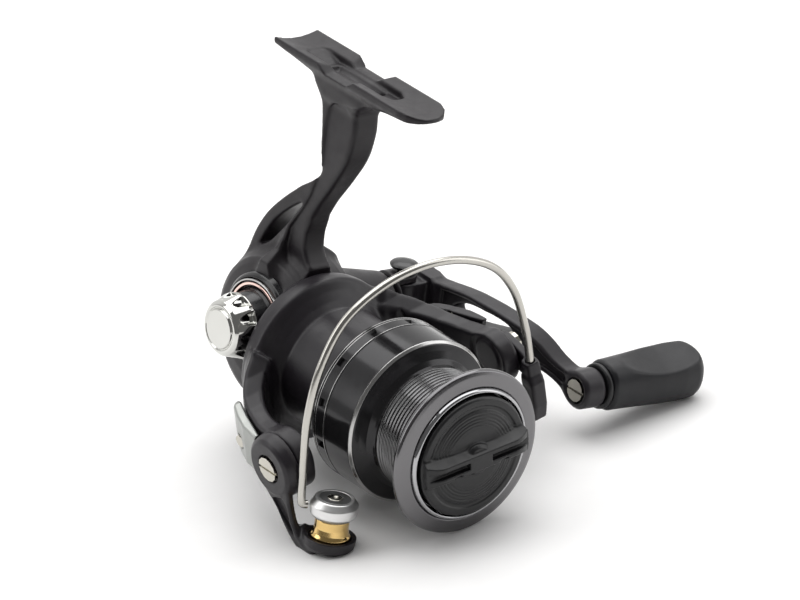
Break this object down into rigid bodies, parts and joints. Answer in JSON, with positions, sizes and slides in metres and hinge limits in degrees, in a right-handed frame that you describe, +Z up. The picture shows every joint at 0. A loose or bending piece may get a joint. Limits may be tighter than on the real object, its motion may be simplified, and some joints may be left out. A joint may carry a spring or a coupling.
{
  "type": "spinning reel",
  "caption": "Fixed-spool fishing reel with rod foot, rotor with a folding wire bail and line roller, oscillating spool with front drag knob, and a folding crank handle.",
  "frame": {"origin": "on the seat face of the rod foot, on the middle line of its front pad", "axes": "+X forward along the spool shaft, +Y to the handle side, +Z up into the rod"},
  "size_m": [0.1058, 0.1358, 0.115],
  "materials": {
    "graphite": "satin charcoal",
    "rotor_graphite": "satin charcoal",
    "trim_black": "gloss black",
    "silver_paint": "satin silver",
    "chrome": "polished",
    "nickel": "nickel plated",
    "steel": "ground",
    "brass": "polished",
    "copper": "copper anodised",
    "zinc": "die cast zinc",
    "spool_metal": "gloss black anodised with machined edges",
    "black_plastic": "matt black",
    "felt": "felt",
    "knob_rubber": "soft black"
  },
  "bodies": {
    "frame": {"body_frame": "graphite", "side_cover": "graphite", "accent_ring": "copper", "drive_bearing_left": "steel", "drive_bearing_right": "steel", "pinion_bearing": "steel", "one_way_clutch": "steel", "clutch_retainer": "nickel", "oscillation_gear_pin": "steel", "guide_rod_upper": "steel", "guide_rod_lower": "steel"},
    "anti_reverse": {"anti_reverse_lever": "trim_black"},
    "handle_shaft": {"handle_shaft": "zinc", "drive_gear": "zinc", "handle_collar": "trim_black", "fold_pin": "trim_black"},
    "screw_cap": {"handle_screw_cap": "chrome"},
    "crank": {"crank_arm": "rotor_graphite", "knob_pin": "nickel"},
    "knob": {"knob": "knob_rubber", "knob_cap": "trim_black", "knob_collar": "black_plastic"},
    "rotor": {"rotor": "rotor_graphite", "pinion_gear": "brass", "rotor_nut": "nickel", "nut_lock_plate": "steel", "arm_cover_left": "silver_paint", "arm_cover_right": "silver_paint", "arm_cover_screw_left": "nickel", "arm_cover_screw_right": "nickel", "bail_spring": "steel", "trip_lever": "steel", "bail_lever_screw": "nickel", "bail_holder_screw": "nickel"},
    "bail": {"bail_lever": "rotor_graphite", "bail_holder": "rotor_graphite", "roller_bush": "nickel", "roller_cap": "silver_paint", "roller_screw": "nickel", "bail_wire": "chrome"},
    "line_roller": {"line_roller": "brass"},
    "oscillation_gear": {"oscillation_gear": "zinc"},
    "shaft": {"main_shaft": "steel", "oscillation_slider": "zinc", "slider_screw": "nickel", "click_gear": "black_plastic", "drag_disc_keyed_rear": "steel", "drag_disc_keyed_front": "steel"},
    "spool": {"spool": "spool_metal", "spool_bush": "black_plastic", "click_pawl": "black_plastic", "drag_disc_felt_rear": "felt", "drag_disc_felt_front": "felt", "drag_disc_eared": "steel", "drag_clip": "steel"},
    "drag_knob": {"drag_knob": "black_plastic", "drag_nut": "brass", "drag_spring": "steel"}
  },
  "joints": [
    {"name": "rotor_spin", "type": "hinge", "parent": "frame", "child": "rotor", "pos_m": [-0.014, 0, -0.081], "axis": [1, 0, 0], "continuous": true},
    {"name": "handle_turn", "type": "hinge", "parent": "frame", "child": "handle_shaft", "pos_m": [-0.0384, 0, -0.07465], "axis": [0, 1, 0], "continuous": true},
    {"name": "oscillation_gear_turn", "type": "hinge", "parent": "frame", "child": "oscillation_gear", "pos_m": [-0.0493, 0.006, -0.0799], "axis": [0, 1, 0], "continuous": true},
    {"name": "spool_stroke", "type": "slide", "parent": "frame", "child": "shaft", "axis": [1, 0, 0], "range_m": [-0.0065, 0.002]},
    {"name": "spool_drag_turn", "type": "hinge", "parent": "shaft", "child": "spool", "pos_m": [0.026, 0, -0.081], "axis": [1, 0, 0], "continuous": true},
    {"name": "drag_knob_turn", "type": "hinge", "parent": "shaft", "child": "drag_knob", "pos_m": [0.038, 0, -0.081], "axis": [1, 0, 0], "range_deg": [-360, 360]},
    {"name": "bail_open", "type": "hinge", "parent": "rotor", "child": "bail", "pos_m": [0.0075, 0, -0.081], "axis": [0, 0.9588, 0.284], "range_deg": [0, 80]},
    {"name": "line_roller_spin", "type": "hinge", "parent": "bail", "child": "line_roller", "pos_m": [0.0222, -0.0278, -0.104], "axis": [0, 0, 1], "continuous": true},
    {"name": "handle_fold", "type": "hinge", "parent": "handle_shaft", "child": "crank", "pos_m": [-0.0384, 0.0369, -0.07465], "axis": [0, 0, 1], "range_deg": [0, 90]},
    {"name": "knob_spin", "type": "hinge", "parent": "crank", "child": "knob", "pos_m": [0.0172, 0.07, -0.08185], "axis": [0, 1, 0], "continuous": true},
    {"name": "screw_cap_turn", "type": "hinge", "parent": "handle_shaft", "child": "screw_cap", "pos_m": [-0.0384, -0.02, -0.07465], "axis": [0, 1, 0], "continuous": true},
    {"name": "anti_reverse_switch", "type": "hinge", "parent": "frame", "child": "anti_reverse", "pos_m": [-0.04815, 0.0018, -0.09804], "axis": [-0.4067, 0, -0.9135], "range_deg": [0, 30]}
  ],
  "couplings": [
    {"joint": "handle_turn", "follows": "rotor_spin", "ratio": 0.19444},
    {"joint": "oscillation_gear_turn", "follows": "rotor_spin", "ratio": -0.12963}
  ]
}
